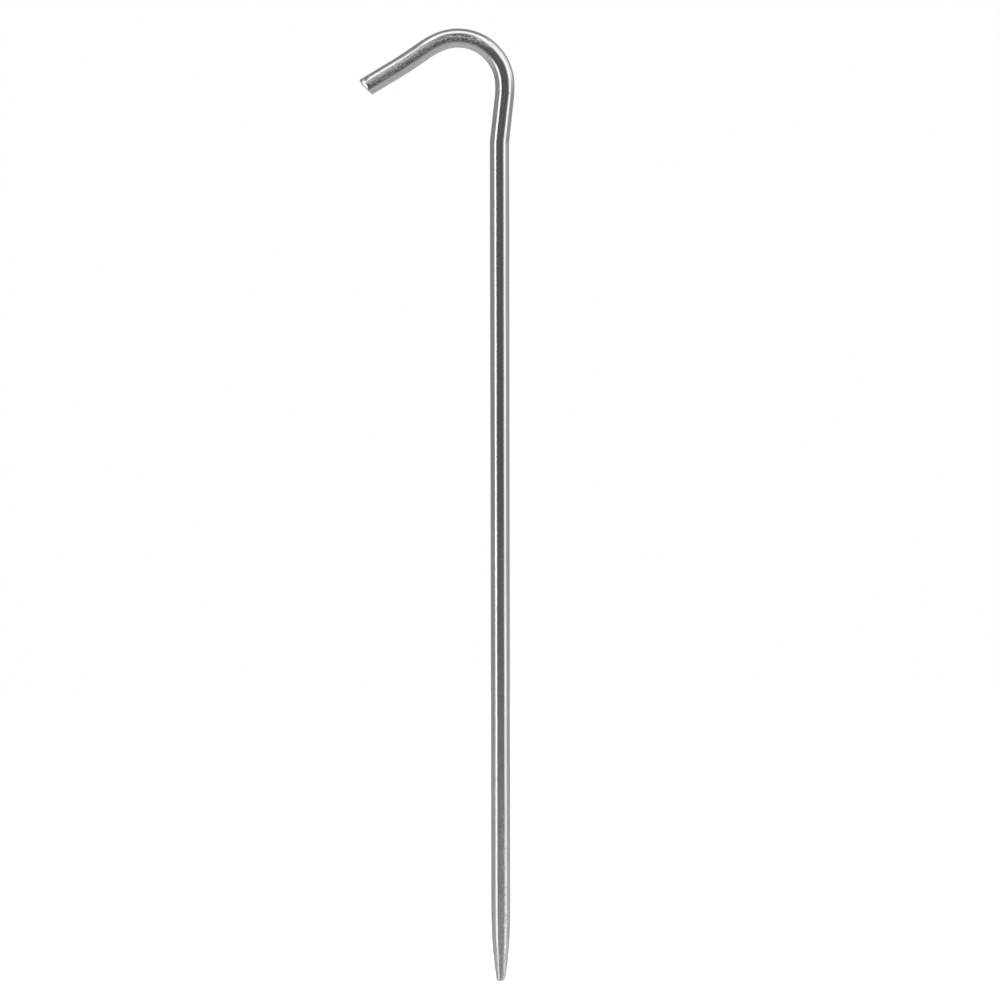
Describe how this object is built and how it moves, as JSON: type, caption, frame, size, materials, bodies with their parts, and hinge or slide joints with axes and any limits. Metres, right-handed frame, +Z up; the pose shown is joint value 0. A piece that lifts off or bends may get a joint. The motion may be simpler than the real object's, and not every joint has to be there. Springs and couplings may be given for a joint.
{
  "type": "tent stake",
  "caption": "Hooked wire tent stake: a round steel rod with a blunt tapered point, a slightly cranked neck and an open crook that holds a guy line.",
  "frame": {"origin": "on the shank's axis at its upper end, where the neck begins to bend, which is about ground level in use", "axes": "+Z up the shank to the hook; the hook lies in the XZ plane with its arm towards -X; +Y is square to the hook's plane"},
  "size_m": [0.0371, 0.0046, 0.2286],
  "materials": {
    "zinc_plated_steel": "bright zinc over drawn steel wire"
  },
  "bodies": {
    "root": {"hooked_rod": "zinc_plated_steel"}
  },
  "joints": []
}
